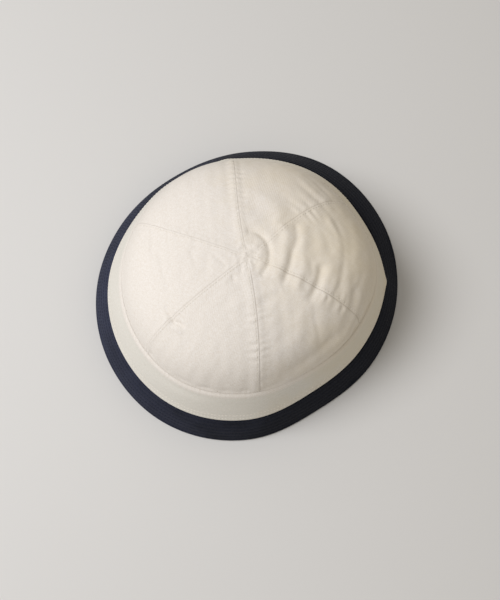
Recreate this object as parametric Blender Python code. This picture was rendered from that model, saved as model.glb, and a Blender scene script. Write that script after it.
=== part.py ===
"""Sailor's deck cap of cotton twill, lying on the edge of its turned-down brim.

Six gores are sewn into a soft low dome. Their hems go inside a steep band, and a stitched brim
hangs from the band and carries the cap. Every piece is a wall of cloth with its own thickness.

Metres, +Z up. The origin is on the surface, under the middle of the brim's bounding box.
Directions are degrees from +X towards +Y. The near side of the cap is -Y.
"""
import math
from collections import namedtuple

import bpy
from mathutils import Vector

MM = 0.001

# Cloth
GORE_CLOTH = 1.5 * MM
BAND_CLOTH = 2.0 * MM
BRIM_CLOTH = 2.5 * MM
SEAM_GAP = 0.3 * MM

# Widths along the slope of each wall, and the height of the cap
BRIM_WIDTH = 31.0 * MM
BAND_WIDTH = 37.0 * MM
HEM_DEPTH = 7.0 * MM
CAP_HEIGHT = 111.5 * MM
BRIM_BELLY = 1.0 * MM
BAND_BELLY = 0.8 * MM

# The gores meet a little off the middle of the band, and the dome is slightly squarer than an ellipse
APEX_SHIFT = Vector((0.4 * MM, -3.0 * MM, 0.0))
DOME_SQUARENESS = 2.2
DOME_HEART_HEIGHT = 45.0 * MM
TIP_RADIUS = 0.6 * MM

# Where the seams between the gores reach the band
GORE_SEAMS = (34.0, 98.0, 159.0, 221.0, 276.0, 334.0)

# The cap seen from above, a row for every 30 degrees, in millimetres: the radius of the brim's
# edge, and how far the brim and the band lean in from their lower edges to their upper edges.
Section = namedtuple("Section", "direction rim_radius brim_lean band_lean")
SECTIONS = (
    Section(direction=0, rim_radius=124.0, brim_lean=13.0, band_lean=9.0),
    Section(direction=30, rim_radius=129.5, brim_lean=19.5, band_lean=12.0),
    Section(direction=60, rim_radius=131.5, brim_lean=19.5, band_lean=14.5),
    Section(direction=90, rim_radius=125.0, brim_lean=16.5, band_lean=14.5),
    Section(direction=120, rim_radius=119.5, brim_lean=11.5, band_lean=13.0),
    Section(direction=150, rim_radius=121.0, brim_lean=12.5, band_lean=13.0),
    Section(direction=180, rim_radius=124.5, brim_lean=11.5, band_lean=14.5),
    Section(direction=210, rim_radius=127.0, brim_lean=11.5, band_lean=14.5),
    Section(direction=240, rim_radius=127.5, brim_lean=11.5, band_lean=14.0),
    Section(direction=270, rim_radius=122.5, brim_lean=11.0, band_lean=14.0),
    Section(direction=300, rim_radius=113.5, brim_lean=10.5, band_lean=12.0),
    Section(direction=330, rim_radius=118.0, brim_lean=12.0, band_lean=10.0),
)

# Folds that curve round the top of the dome, in degrees and millimetres about the apex. Each is
# a valley with a lower ridge outside it.
Fold = namedtuple("Fold", "start end start_radius end_radius depth width")
FOLDS = (
    Fold(start=-50, end=96, start_radius=16, end_radius=19, depth=1.2, width=4.0),
    Fold(start=-40, end=42, start_radius=31, end_radius=42, depth=1.7, width=5.0),
    Fold(start=-36, end=-2, start_radius=56, end_radius=54, depth=1.7, width=5.0),
    Fold(start=-32, end=44, start_radius=71, end_radius=74, depth=1.6, width=5.5),
    Fold(start=208, end=230, start_radius=72, end_radius=74, depth=1.0, width=5.0),
)
FOLD_RIDGE_SHARE = 0.6
FOLD_RIDGE_OFFSET = 1.7
FOLD_FADE = 12.0

# How finely each piece is divided
RING_STEPS = 60
BRIM_ROWS = 5
BAND_ROWS = 4
GORE_COLUMNS = 10
HEM_ROWS = 1
DOME_ROWS = 25
SLOPE_STEP = 0.01
TURN_STEP = 1.0

NATURAL_COTTON = (0.79, 0.75, 0.68, 1.0)
NAVY_COTTON = (0.025, 0.028, 0.045, 1.0)


def around(column, direction):
    """Value of one column of SECTIONS, in metres, on a smooth closed curve through its rows."""
    values = [getattr(section, column) * MM for section in SECTIONS]
    place = (direction % 360.0) / 360.0 * len(values)
    row = int(place)
    part = place - row
    before, here, after, beyond = (values[(row + step) % len(values)] for step in (-1, 0, 1, 2))
    slope = after - before
    bend = 2.0 * before - 5.0 * here + 4.0 * after - beyond
    twist = 3.0 * here - before - 3.0 * after + beyond
    return here + 0.5 * (slope * part + bend * part ** 2 + twist * part ** 3)


def outward(direction):
    """Level unit vector that points out of the cap in this direction."""
    turn = math.radians(direction)
    return Vector((math.cos(turn), math.sin(turn), 0.0))


def rim_middle():
    """Middle of the bounding box of the brim's edge, about the point the radii start from."""
    edge = [outward(direction) * around("rim_radius", direction) for direction in ring_directions()]
    across = [point.x for point in edge]
    along = [point.y for point in edge]
    return Vector(((min(across) + max(across)) / 2.0, (min(along) + max(along)) / 2.0, 0.0))


def ring_directions():
    """Directions of the columns of the brim and the band."""
    return [360.0 * step / RING_STEPS for step in range(RING_STEPS)]


def rise(width, lean):
    """Height of a wall of this width along its slope that leans in this far."""
    return math.sqrt(width ** 2 - lean ** 2)


def brim_wall(direction, up, depth=0.0):
    """Point on the brim, from its edge on the surface (up 0) to its seam (up 1), this deep in it."""
    lean = around("brim_lean", direction)
    height = rise(BRIM_WIDTH, lean)
    level_depth = depth * BRIM_WIDTH / height
    belly = BRIM_BELLY * 4.0 * up * (1.0 - up)
    radius = around("rim_radius", direction) - lean * up + belly - level_depth
    return outward(direction) * radius + Vector((0.0, 0.0, height * up))


def band_wall(direction, up, depth=0.0):
    """Point on the band, from its seam with the brim (up 0) to its upper edge (up 1)."""
    foot = brim_wall(direction, 1.0)
    lean = around("band_lean", direction)
    height = rise(BAND_WIDTH, lean)
    level_depth = depth * BAND_WIDTH / height
    belly = BAND_BELLY * 4.0 * up * (1.0 - up)
    radius = around("rim_radius", direction) - around("brim_lean", direction) - lean * up + belly
    return outward(direction) * (radius - level_depth) + Vector((0.0, 0.0, foot.z + height * up))


def hem_wall(direction, down):
    """Point on the gores' hem inside the band, this far down from the band's upper edge."""
    return band_wall(direction, 1.0 - down / BAND_WIDTH, BAND_CLOTH + SEAM_GAP)


def fold_relief(point):
    """How far the folds lift (or lower) the dome at this point."""
    arm = point - APEX_SHIFT
    radius = math.hypot(arm.x, arm.y) / MM
    direction = math.degrees(math.atan2(arm.y, arm.x))
    lift = 0.0
    for fold in FOLDS:
        turn = (direction - fold.start + FOLD_FADE) % 360.0 + fold.start - FOLD_FADE
        if turn > fold.end + FOLD_FADE:
            continue
        share = (turn - fold.start) / (fold.end - fold.start)
        share = min(max(share, 0.0), 1.0)
        middle = fold.start_radius + (fold.end_radius - fold.start_radius) * share
        to_end = min(turn - fold.start, fold.end - turn) + FOLD_FADE
        strength = math.sin(math.pi / 2.0 * min(to_end / (2.0 * FOLD_FADE), 1.0)) ** 2
        across = (radius - middle) / fold.width
        valley = math.exp(-across ** 2)
        ridge = FOLD_RIDGE_SHARE * math.exp(-(across - FOLD_RIDGE_OFFSET) ** 2)
        lift += strength * fold.depth * MM * (ridge - valley)
    return lift


def dome_wall(direction, up):
    """Point on the outside of the dome, from the band's upper edge (up 0) to the apex (up 1)."""
    foot = hem_wall(direction, 0.0)
    turn = math.pi / 2.0 * up
    spread = math.cos(turn) ** (2.0 / DOME_SQUARENESS)
    climb = math.sin(turn) ** (2.0 / DOME_SQUARENESS)
    level = APEX_SHIFT + (Vector((foot.x, foot.y, 0.0)) - APEX_SHIFT) * spread
    point = level + Vector((0.0, 0.0, foot.z + (CAP_HEIGHT - foot.z) * climb))
    heart = APEX_SHIFT + Vector((0.0, 0.0, DOME_HEART_HEIGHT))
    return point + (point - heart).normalized() * fold_relief(level)


def gore_skin(direction, up):
    """Point on the outside of a gore: the hem below up 0, the dome above it."""
    if up < 0.0:
        return hem_wall(direction, -up)
    return dome_wall(direction, min(up, 0.9999))


def gore_normal(direction, up):
    """Unit vector out of a gore's cloth at this place."""
    if up < 0.0:
        below, above = gore_skin(direction, up - SLOPE_STEP * HEM_DEPTH), gore_skin(direction, up)
    else:
        below = dome_wall(direction, max(up - SLOPE_STEP, 0.0))
        above = dome_wall(direction, min(up + SLOPE_STEP, 0.9999))
    left = gore_skin(direction - TURN_STEP, up)
    right = gore_skin(direction + TURN_STEP, up)
    return (right - left).cross(above - below).normalized()


def gore_slopes():
    """Places of a gore's rows: negative distances down the hem, then shares of the dome."""
    hem = [-HEM_DEPTH * (HEM_ROWS - row) / HEM_ROWS for row in range(HEM_ROWS)]
    dome = [row / DOME_ROWS for row in range(DOME_ROWS)]
    return hem + dome


def seam_inset(direction, up):
    """Degrees by which a gore stops short of a seam, to leave half of the gap there."""
    arm = gore_skin(direction, up) - APEX_SHIFT
    return math.degrees(math.asin(0.5 * SEAM_GAP / math.hypot(arm.x, arm.y)))


def wall_piece(name, outer, inner, closed_ring, material, tips=None):
    """Object whose outer and inner skins are rows of points, closed along all their edges.

    With tips, an outer and an inner point, the skins' last rows run together in those points.
    """
    rows = len(outer)
    columns = len(outer[0])
    points = [point for skin in (outer, inner) for row in skin for point in row]
    if tips:
        points.extend(tips)

    def corner(skin, row, column):
        return (skin * rows + row) * columns + column % columns

    last = columns if closed_ring else columns - 1
    faces = []
    for column in range(last):
        for row in range(rows - 1):
            for skin in (0, 1):
                face = (corner(skin, row, column), corner(skin, row, column + 1),
                        corner(skin, row + 1, column + 1), corner(skin, row + 1, column))
                faces.append(face if skin == 0 else face[::-1])
        faces.append((corner(1, 0, column), corner(1, 0, column + 1),
                      corner(0, 0, column + 1), corner(0, 0, column)))
        if tips:
            top = len(points) - 2
            faces.append((corner(0, rows - 1, column), corner(0, rows - 1, column + 1), top))
            faces.append((corner(1, rows - 1, column + 1), corner(1, rows - 1, column), top + 1))
        else:
            faces.append((corner(0, rows - 1, column), corner(0, rows - 1, column + 1),
                          corner(1, rows - 1, column + 1), corner(1, rows - 1, column)))
    if not closed_ring:
        for row in range(rows - 1):
            faces.append((corner(0, row, 0), corner(0, row + 1, 0),
                          corner(1, row + 1, 0), corner(1, row, 0)))
            faces.append((corner(1, row, last), corner(1, row + 1, last),
                          corner(0, row + 1, last), corner(0, row, last)))
        if tips:
            top = len(points) - 2
            faces.append((corner(0, rows - 1, 0), top, top + 1, corner(1, rows - 1, 0)))
            faces.append((corner(1, rows - 1, last), top + 1, top, corner(0, rows - 1, last)))

    middle = rim_middle()
    mesh = bpy.data.meshes.new(name)
    mesh.from_pydata([point - middle for point in points], [], faces)
    mesh.update()
    mesh.shade_smooth()
    mesh.set_sharp_from_angle(angle=math.radians(40.0))
    mesh.materials.append(material)
    piece = bpy.data.objects.new(name, mesh)
    bpy.context.scene.collection.objects.link(piece)
    return piece


def cloth_material(name, colour, roughness):
    """Principled cloth of one colour."""
    material = bpy.data.materials.new(name)
    material.use_nodes = True
    shader = material.node_tree.nodes["Principled BSDF"]
    shader.inputs["Base Color"].default_value = colour
    shader.inputs["Roughness"].default_value = roughness
    shader.inputs["Metallic"].default_value = 0.0
    return material


def make_brim():
    """Stitched brim, which stands on its flat lower edge."""
    top = 1.0 - SEAM_GAP / BRIM_WIDTH
    slopes = [top * row / BRIM_ROWS for row in range(BRIM_ROWS + 1)]
    outer = [[brim_wall(direction, up) for direction in ring_directions()] for up in slopes]
    inner = [[brim_wall(direction, up, BRIM_CLOTH) for direction in ring_directions()] for up in slopes]
    return wall_piece("brim", outer, inner, True, cloth_material("navy_twill", NAVY_COTTON, 0.9))


def make_band():
    """Band between the brim and the dome."""
    slopes = [row / BAND_ROWS for row in range(BAND_ROWS + 1)]
    outer = [[band_wall(direction, up) for direction in ring_directions()] for up in slopes]
    inner = [[band_wall(direction, up, BAND_CLOTH) for direction in ring_directions()] for up in slopes]
    return wall_piece("band", outer, inner, True, cloth_material("band_twill", NATURAL_COTTON, 0.85))


def make_gore(number, start, end):
    """One gore of the dome between the seams at these two directions."""
    outer = []
    inner = []
    for up in gore_slopes():
        first = start + seam_inset(start, up)
        last = end - seam_inset(end, up)
        directions = [first + (last - first) * column / GORE_COLUMNS for column in range(GORE_COLUMNS + 1)]
        skin = [gore_skin(direction, up) for direction in directions]
        outer.append(skin)
        inner.append([point - gore_normal(direction, up) * GORE_CLOTH
                      for point, direction in zip(skin, directions)])
    tip = APEX_SHIFT + outward((start + end) / 2.0) * TIP_RADIUS + Vector((0.0, 0.0, CAP_HEIGHT))
    tips = (tip, tip - Vector((0.0, 0.0, GORE_CLOTH)))
    material = cloth_material("gore_twill_%d" % number, NATURAL_COTTON, 0.85)
    return wall_piece("crown_gore_%d" % number, outer, inner, False, material, tips)


def main():
    for old in list(bpy.data.objects):
        bpy.data.objects.remove(old, do_unlink=True)
    make_brim()
    make_band()
    ends = GORE_SEAMS[1:] + (GORE_SEAMS[0] + 360.0,)
    for number, (start, end) in enumerate(zip(GORE_SEAMS, ends), start=1):
        make_gore(number, start, end)


main()
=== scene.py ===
"""Looks of a sailor's deck cap of cotton twill, lying on the edge of its turned-down brim.

Six gores lap over each other at topstitched seams, their hems go into a steep band with a rolled
upper edge, and the band laps over a brim quilted with rows of stitching. Each is one sheet of
cloth with its own thickness. Shapes are worked out in millimetres, in the frame's own axes, and
meshes are in metres. Directions are degrees from +X towards +Y, and the near side of the cap is -Y.
"""
import math
from collections import namedtuple

import bpy
import numpy as np
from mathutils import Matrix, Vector


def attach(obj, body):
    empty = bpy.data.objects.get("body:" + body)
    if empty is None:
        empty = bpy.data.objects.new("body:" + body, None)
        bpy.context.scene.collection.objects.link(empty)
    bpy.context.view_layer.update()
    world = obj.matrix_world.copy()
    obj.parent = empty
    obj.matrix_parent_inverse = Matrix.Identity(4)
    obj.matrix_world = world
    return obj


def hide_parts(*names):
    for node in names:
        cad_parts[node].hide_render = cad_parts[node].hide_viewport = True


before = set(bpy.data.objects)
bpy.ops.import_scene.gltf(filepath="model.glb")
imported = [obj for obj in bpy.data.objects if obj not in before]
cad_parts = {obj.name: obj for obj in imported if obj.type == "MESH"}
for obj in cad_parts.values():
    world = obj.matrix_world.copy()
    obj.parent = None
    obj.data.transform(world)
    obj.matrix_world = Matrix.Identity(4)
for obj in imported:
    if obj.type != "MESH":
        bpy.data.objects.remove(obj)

bl_info = {
    "name": "Sailor cap",
    "version": (1, 0, 0),
    "blender": (4, 5, 0),
    "location": "3D View > Sidebar > Cap",
    "description": "Makes the cloth, the stitching and the stage of a sailor's deck cap",
    "category": "Add Mesh",
}

MM = 0.001

# --- Sizes in millimetres, and turns in degrees, unless a comment says otherwise ---

# Widths along the slope of each wall, the height of the cap, how far the walls belly out, how
# square the dome's shoulder is (2 is round), and the place of the apex
BRIM_WIDTH = 31.0
BAND_WIDTH = 37.0
CAP_HEIGHT = 111.5
BRIM_BELLY = 1.0
BAND_BELLY = 0.8
DOME_SQUARENESS = 2.2
APEX_SHIFT = (0.4, -3.0)

# The cap seen from above, a row for every 30 degrees: the radius of the brim's edge, how far the
# brim and the band's wall lean in from their lower edges to their upper edges, how far up the
# band's wall the crown's seam lies, and how far the band's edge is rolled in at that seam
Section = namedtuple("Section", "direction rim_radius brim_lean band_lean crown_seam edge_roll")
SECTIONS = (
    #   direction, rim_radius, brim_lean, band_lean, crown_seam, edge_roll
    Section(0, 124.0, 13.0, 9.0, 36.5, 0.0),
    Section(30, 129.5, 19.5, 12.0, 36.5, 0.0),
    Section(60, 131.5, 19.5, 14.5, 36.5, 0.0),
    Section(90, 125.0, 15.9, 15.1, 36.5, 0.0),
    Section(120, 119.5, 12.2, 12.3, 36.5, 0.0),
    Section(150, 121.0, 13.4, 12.1, 36.5, 0.0),
    Section(180, 124.5, 12.5, 13.5, 36.5, 0.1),
    Section(210, 127.0, 12.2, 13.8, 36.5, 1.0),
    Section(240, 127.5, 11.5, 14.0, 35.5, 0.9),
    Section(270, 122.5, 11.0, 14.0, 35.0, 0.6),
    Section(300, 113.5, 10.5, 12.0, 31.0, 0.12),
    Section(330, 118.0, 12.0, 10.0, 33.0, 0.8),
)

# The seams between the gores: their directions about the apex at the band, half way up and at the
# tip, which gore lies on top (the one after or before the seam, anticlockwise), how far the seam
# stands up, how wide it is on the side before it and after it, how dark its line of dust and painted
# shade is, the radius about the apex from which it shows, and how far above the band it shows in
# full; then the puckers that its stitching draws in: their height, pitch and reach, and the radii
# between which they lie
Seam = namedtuple("Seam", "foot middle tip over ridge before after dark clear shown "
                          "pucker pitch reach first last")
SEAMS = (
    Seam(foot=35, middle=40.5, tip=38, over="before", ridge=0.12, before=5.0, after=5.0,
         dark=0.40, clear=28, shown=2,
         pucker=0.35, pitch=5.5, reach=18, first=46, last=70),
    Seam(foot=97, middle=99, tip=104, over="after", ridge=0.6, before=5.4, after=8.0,
         dark=0.25, clear=4, shown=2,
         pucker=0.30, pitch=5.2, reach=11, first=24, last=112),
    Seam(foot=157, middle=160, tip=158, over="after", ridge=0.28, before=5.5, after=4.0,
         dark=0.22, clear=4, shown=2,
         pucker=0.16, pitch=7.0, reach=8, first=14, last=74),
    Seam(foot=219, middle=219, tip=218, over="after", ridge=0.12, before=4.0, after=4.0,
         dark=0.30, clear=6, shown=34,
         pucker=0.05, pitch=8.0, reach=8, first=20, last=70),
    Seam(foot=276, middle=279, tip=282, over="before", ridge=0.6, before=8.5, after=5.8,
         dark=0.36, clear=6, shown=2,
         pucker=0.26, pitch=5.5, reach=13, first=34, last=105),
    Seam(foot=334.5, middle=335.5, tip=338, over="after", ridge=0.12, before=5.0, after=5.0,
         dark=0.45, clear=19, shown=2,
         pucker=0.22, pitch=5.5, reach=12, first=52, last=88),
)

# The creases of the dome: ridges (height above 0) and valleys, each along a smooth path of
# places about the apex, seen from above: (direction, radius, share of the height)
Fold = namedtuple("Fold", "height width path")
FOLDS = (
    # rolls and hollows that curve round the right of the apex
    Fold(height=0.5, width=2.6, path=(
        (90, 10, 0.4), (62, 10, 0.8), (36, 11, 1.0), (6, 10, 1.0), (330, 10, 0.8))),
    Fold(height=-1.65, width=2.6, path=(
        (96, 21, 0.1), (86, 21, 0.6), (70, 20.5, 1.0), (48, 19.5, 1.1), (22, 18, 1.0), (354, 17, 1.0),
        (335, 17, 0.9), (310, 18, 0.7), (300, 19, 0.3))),
    Fold(height=1.35, width=4.1, path=(
        (56, 33, 0.6), (44, 36, 0.8), (32, 35, 1.0), (23, 32, 1.0), (9, 28, 1.0), (354, 27, 1.0),
        (339, 26, 1.0), (318, 28, 0.6))),
    Fold(height=0.6, width=5.0, path=((92, 57, 0.6), (72, 50, 1.0), (58, 43, 1.0), (46, 38, 0.7))),
    Fold(height=-0.5, width=4.5, path=((66, 59, 0.7), (54, 56, 1.0), (44, 50, 1.0), (38, 46, 0.6))),
    Fold(height=-1.45, width=2.5, path=(
        (39, 46, 0.4), (34, 45, 0.6), (28, 43, 0.5), (19, 40, 0.7), (7, 35, 1.0), (349, 33, 1.0),
        (332, 33, 1.0), (318, 35, 0.3))),
    Fold(height=1.2, width=3.7, path=(
        (33, 51, 0.4), (18, 45, 0.6), (4, 42, 0.8), (352, 43, 1.0), (343, 43, 1.0), (333, 43, 1.0),
        (324, 45, 0.6))),
    Fold(height=-0.4, width=2.0, path=((359, 49, 0.3), (354, 49, 1.0), (348, 50, 1.0), (341, 51, 0.5))),
    Fold(height=-1.85, width=3.2, path=(
        (357, 56, 0.3), (351, 57, 0.9), (343, 57, 1.0), (335, 57, 1.0), (328, 57, 0.8),
        (323, 58, 0.2))),
    Fold(height=-0.35, width=3.0, path=(
        (24, 61, 0.4), (18, 62, 0.8), (10, 63, 1.0), (2, 64, 0.8), (356, 65, 0.2))),
    Fold(height=0.45, width=2.2, path=(
        (31, 71, 0.4), (26, 71, 1.0), (19, 72, 1.0), (11, 71, 0.6), (2, 70, 0.4), (352, 69, 0.6),
        (343, 69, 0.8), (333, 69, 0.6))),
    Fold(height=0.8, width=4.6, path=(
        (4, 63, 0.3), (354, 64, 1.0), (345, 64, 1.2), (335, 65, 1.1), (324, 66, 0.7))),
    Fold(height=-0.36, width=2.2, path=(
        (44, 74, 0.4), (38, 74, 1.1), (32, 75, 1.1), (25, 76, 0.7), (15, 76, 0.7), (6, 75, 0.9),
        (357, 74, 1.1), (349, 73, 1.0), (341, 73, 0.9), (334, 73, 0.4))),
    Fold(height=0.3, width=2.2, path=((59, 69, 0.4), (53, 69, 0.9), (46, 69, 1.0), (40, 70, 0.8))),
    Fold(height=-0.4, width=2.0, path=((61, 76, 0.4), (54, 75, 0.9), (47, 74, 1.0), (40, 75, 1.0))),
    Fold(height=0.35, width=2.4, path=((62, 82, 0.3), (57, 81, 0.8), (48, 79, 1.0), (39, 80, 1.0))),
    Fold(height=-0.4, width=2.2, path=((62, 90, 0.4), (55, 89, 0.8), (46, 87, 1.0), (37, 86, 0.6))),
    Fold(height=-0.4, width=5.5, path=(
        (40, 80, 0.3), (29, 81, 0.8), (20, 82, 1.0), (10, 81, 0.8), (0, 80, 0.5), (352, 79, 0.5),
        (344, 79, 0.2))),
    Fold(height=0.35, width=2.0, path=((48, 89, 0.5), (44, 90, 1.0), (39, 94, 0.6))),
    Fold(height=0.3, width=3.0, path=(
        (8, 84, 0.4), (0, 82, 0.8), (352, 79, 0.6), (346, 79, 1.2), (337, 80, 1.3))),
    Fold(height=-0.65, width=2.4, path=(
        (358, 90, 0.4), (351, 88, 0.8), (345, 85, 1.0), (340, 86, 1.0), (334, 86, 0.6))),
    Fold(height=1.5, width=2.3, path=(
        (348, 90, 0.2), (342, 91, 0.45), (333, 91, 0.85), (326, 91, 1.4), (321, 90, 1.3),
        (316, 89, 0.8), (311, 88, 0.7), (301, 88, 0.7), (294, 89, 0.6), (287, 90, 0.3))),
    Fold(height=-0.5, width=1.8, path=(
        (323, 86, 0.4), (316, 85, 1.0), (309, 85, 1.0), (300, 85, 1.0), (292, 86, 0.7))),
    Fold(height=-0.35, width=2.0, path=(
        (325, 61, 0.4), (319, 68, 1.0), (315, 76, 1.0), (312, 83, 0.6))),
    Fold(height=-1.2, width=1.2, path=(
        (348, 100, 0.6), (343, 98, 1.0), (339, 97, 1.0), (336, 96, 0.6), (332, 95, 0.8), (328, 95, 1.0),
        (322, 94, 0.9), (317, 94, 0.4))),
    # puckers at the foot of the left seam
    Fold(height=-1.3, width=1.4, path=(
        (209, 71, 0.5), (213, 72, 0.8), (218, 72, 1.0), (221, 73, 1.0), (225, 71, 1.0),
        (229, 71, 0.4))),
    Fold(height=0.9, width=2.2, path=(
        (211, 75, 0.5), (216, 76, 1.0), (221, 77, 0.6), (225, 75, 1.0), (230, 75, 0.4))),
    # creases beside the apex and hanging folds on its left
    Fold(height=-0.45, width=1.6, path=(
        (174, 27, 0.5), (180, 24, 1.0), (192, 20, 1.0), (212, 17, 0.6))),
    Fold(height=-0.8, width=1.8, path=((228, 19, 0.5), (238, 20, 1.0), (247, 22, 0.5))),
    Fold(height=-0.5, width=1.6, path=((228, 25, 0.6), (245, 23, 1.0), (266, 25, 0.6))),
    Fold(height=-0.4, width=1.6, path=((232, 6, 0.5), (246, 11, 1.0), (256, 16, 0.6))),
    Fold(height=-0.3, width=2.2, path=((171, 31, 0.7), (181, 30, 1.0), (191, 31, 1.0), (208, 35, 0.5))),
    Fold(height=-0.28, width=1.4, path=(
        (169, 44, 0.5), (174, 43, 1.0), (182, 41, 1.0), (191, 40, 0.6))),
    Fold(height=-0.55, width=2.4, path=(
        (173, 68, 0.5), (176, 67, 1.0), (187, 65, 1.0), (195, 64, 0.8), (204, 65, 0.4))),
    Fold(height=-0.5, width=1.8, path=((162, 76, 0.4), (167, 75, 1.0), (172, 74, 1.0), (178, 73, 0.5))),
    Fold(height=0.45, width=2.2, path=((159, 83, 0.6), (164, 80, 1.0), (172, 78, 1.0), (182, 76, 0.5))),
    Fold(height=-0.55, width=2.4, path=(
        (161, 85, 0.6), (169, 82, 1.0), (179, 80, 1.0), (190, 79, 0.8), (197, 79, 0.4))),
    # soft hollows and swells
    Fold(height=-0.45, width=5.0, path=((91, 45, 0.8), (76, 38, 1.0), (59, 31, 1.0))),
    Fold(height=0.5, width=4.0, path=((250, 46, 0.5), (273, 33, 1.0), (294, 32, 1.0), (318, 37, 1.0))),
    Fold(height=-0.6, width=4.0, path=((284, 40, 0.6), (300, 35, 1.0), (316, 37, 1.0))),
    Fold(height=0.5, width=5.0, path=((319, 55, 0.8), (303, 71, 1.0), (293, 79, 0.8))),
    Fold(height=-0.35, width=5.0, path=((304, 48, 1.0), (298, 60, 1.0), (290, 70, 1.0))),
)

# The length in which a fold fades at each end, the share of it cut off there, and the number of
# steps between two places of a path
FOLD_FADE = 4.0
FOLD_CUT = 0.15
FOLD_STEPS = 8

# Soft waves all over the dome: their height and length, the radius about the apex from which they
# have their full height, and the number added to the seed
Wave = namedtuple("Wave", "height length full seed")
WAVES = (
    Wave(height=0.12, length=34.0, full=30.0, seed=0),
    Wave(height=0.09, length=11.0, full=20.0, seed=6),
    Wave(height=0.03, length=5.0, full=20.0, seed=7),
)

# Round the apex: swells and sharp creases with their height, reach and length, and the bulk of
# the seams that meet there
Crumple = namedtuple("Crumple", "height reach length seed")
APEX_SWELL = Crumple(height=0.25, reach=14.0, length=6.5, seed=3)
APEX_CREASE = Crumple(height=-0.34, reach=10.0, length=6.0, seed=5)
APEX_BULK = 0.25
APEX_BULK_REACH = 6.0

# Gathers of the gores just above the band, and the height of their middle and their half height
Gather = namedtuple("Gather", "direction depth spread")
GATHERS = (
    Gather(direction=218, depth=0.30, spread=1.5),
    Gather(direction=223, depth=0.55, spread=2.0),
    Gather(direction=233, depth=0.25, spread=2.5),
    Gather(direction=241, depth=0.60, spread=3.2),
    Gather(direction=251, depth=0.70, spread=3.2),
    Gather(direction=261, depth=0.40, spread=2.5),
    Gather(direction=269, depth=0.50, spread=2.2),
    Gather(direction=283, depth=0.30, spread=2.5),
)
GATHER_PLACE = 3.5
GATHER_HEIGHT = 3.2

# Corners that the band and the brim share
Corner = namedtuple("Corner", "direction height width")
CORNERS = (
    Corner(direction=1.0, height=1.0, width=6.5),
    Corner(direction=1.0, height=0.8, width=2.2),
    Corner(direction=99.0, height=1.0, width=3.5),
)

# Gores: thickness of the cloth and of its edge, depth of the hem, its gap to the band, and the
# distance above the crown's seam in which the folds come up
GORE_CLOTH = 0.9
GORE_EDGE = 0.1
GORE_HEM = 7.0
HEM_GAP = 0.03
FOLD_RISE = 4.0

# Seams: width of the lap, and of its pressed edge, the step of the upper gore and the gap to the
# lower one, the depth of the line and its width, the width of the dust and painted shade in it, the
# share of a seam's width in which it rises, and how faint it is where it is hard to see
SEAM_LAP = 6.0
SEAM_PRESS = 1.8
SEAM_STEP = 0.04
LAP_GAP = 0.05
SEAM_LINE = 0.05
LINE_WIDTH = 0.5
DUST_AND_SHADE_WIDTH = 0.4
RIDGE_RISE = 0.85
FAINT = 0.3
CLEAR_RISE = 10.0

# Near the apex: the radius where seams lie flat and the distance in which they rise, the least
# radius for their widths, and how fast and from where the laps grow wide
TIP_FLAT = 3.0
TIP_RISE = 14.0
TIP_RADIUS = 2.0
TIP_LAP = 0.3
TIP_LAP_START = 1.0

# Puckers of the seams: the distance from the seam, and along it at both ends, in which they rise
PUCKER_FOOT = 2.5
PUCKER_RISE = 14.0
PUCKER_FALL = 8.0

# Band: thickness of its cloth, over the hems and at its edge, the distances in which it grows, its
# lap over the brim with its step and fade, and the soft dents: height, length and fades
BAND_CLOTH = 1.3
BAND_TOP_CLOTH = 0.5
BAND_EDGE = 0.05
BAND_EDGE_RISE = 2.5
HEMS_END = 8.0
HEMS_FADE = 3.0
BAND_LAP = 0.8
BAND_STEP = 0.1
BAND_STEP_FADE = 5.0
DENT_HEIGHT = 0.3
DENT_LENGTH = 46.0
DENT_TURN = 1.6
DENT_TOP_FADE = 8.0
DENT_FOOT_FADE = 6.0

# The band's upper edge where it is rolled in: how deep and how wide, the swell below it, the tugs
# of its stitching, the distance in which the gores come out again above it, how far they lie
# below its edge, and how dark the painted shade along that line is and how wide the line is
ROLL_DEPTH = 0.5
ROLL_WIDTH = 3.2
ROLL_SWELL = 0.35
ROLL_SWELL_WIDTH = 2.4
TUG_HEIGHT = 0.1
TUG_PITCH = 2.0
TUG_REACH = 9.0
FOOT_RISE = 9.0
EDGE_STEP = 0.2
EDGE_PAINTED_SHADE = 0.05
EDGE_WIDTH = 0.9

# Brim: thickness of its cloth, its tuck under the band, the bead along its edge, its sway, one soft
# crease, where its dents begin, and how far up it the level edge reaches
BRIM_CLOTH = 2.5
BRIM_TUCK = 2.0
TUCK_DEPTH = 0.9
TUCK_START = 2.6
TUCK_RISE = 1.6
BEAD_HEIGHT = 0.5
BEAD_PLACE = 1.8
BEAD_WIDTH = 2.0
BEAD_RISE = 1.2
SWAY_HEIGHT = 0.25
SWAY_PITCH = 26.0
SWAY_SLANT = 60.0
CREASE = Corner(direction=318.0, height=-0.9, width=2.2)
CREASE_END = 1.2
DENTS_START = 1.0
DENTS_RISE = 5.0
LEVEL_REACH = 8.0

# Channels of the brim at its rows of stitching: depth, width, their wander and its pitch, how
# unevenly the thread pulls and how often in a degree, and where on the brim they begin
BRIM_ROWS = (3.2, 7.8, 12.4, 17.0, 21.6, 26.2)
GROOVE_DEPTH = 0.2
GROOVE_WIDTH = 0.9
GROOVE_WANDER = 0.15
GROOVE_WANDER_PITCH = 14.0
GROOVE_PULL = 0.35
GROOVE_PULLS = 0.75
GROOVE_START = 0.8
GROOVE_RISE = 1.6

# Rows of stitching on the band, with the depth of their grooves
BandRow = namedtuple("BandRow", "place depth")
BAND_ROWS = (BandRow(place=1.8, depth=0.12), BandRow(place=6.0, depth=0.08))
BAND_GROOVE_WIDTH = 0.8
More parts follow.
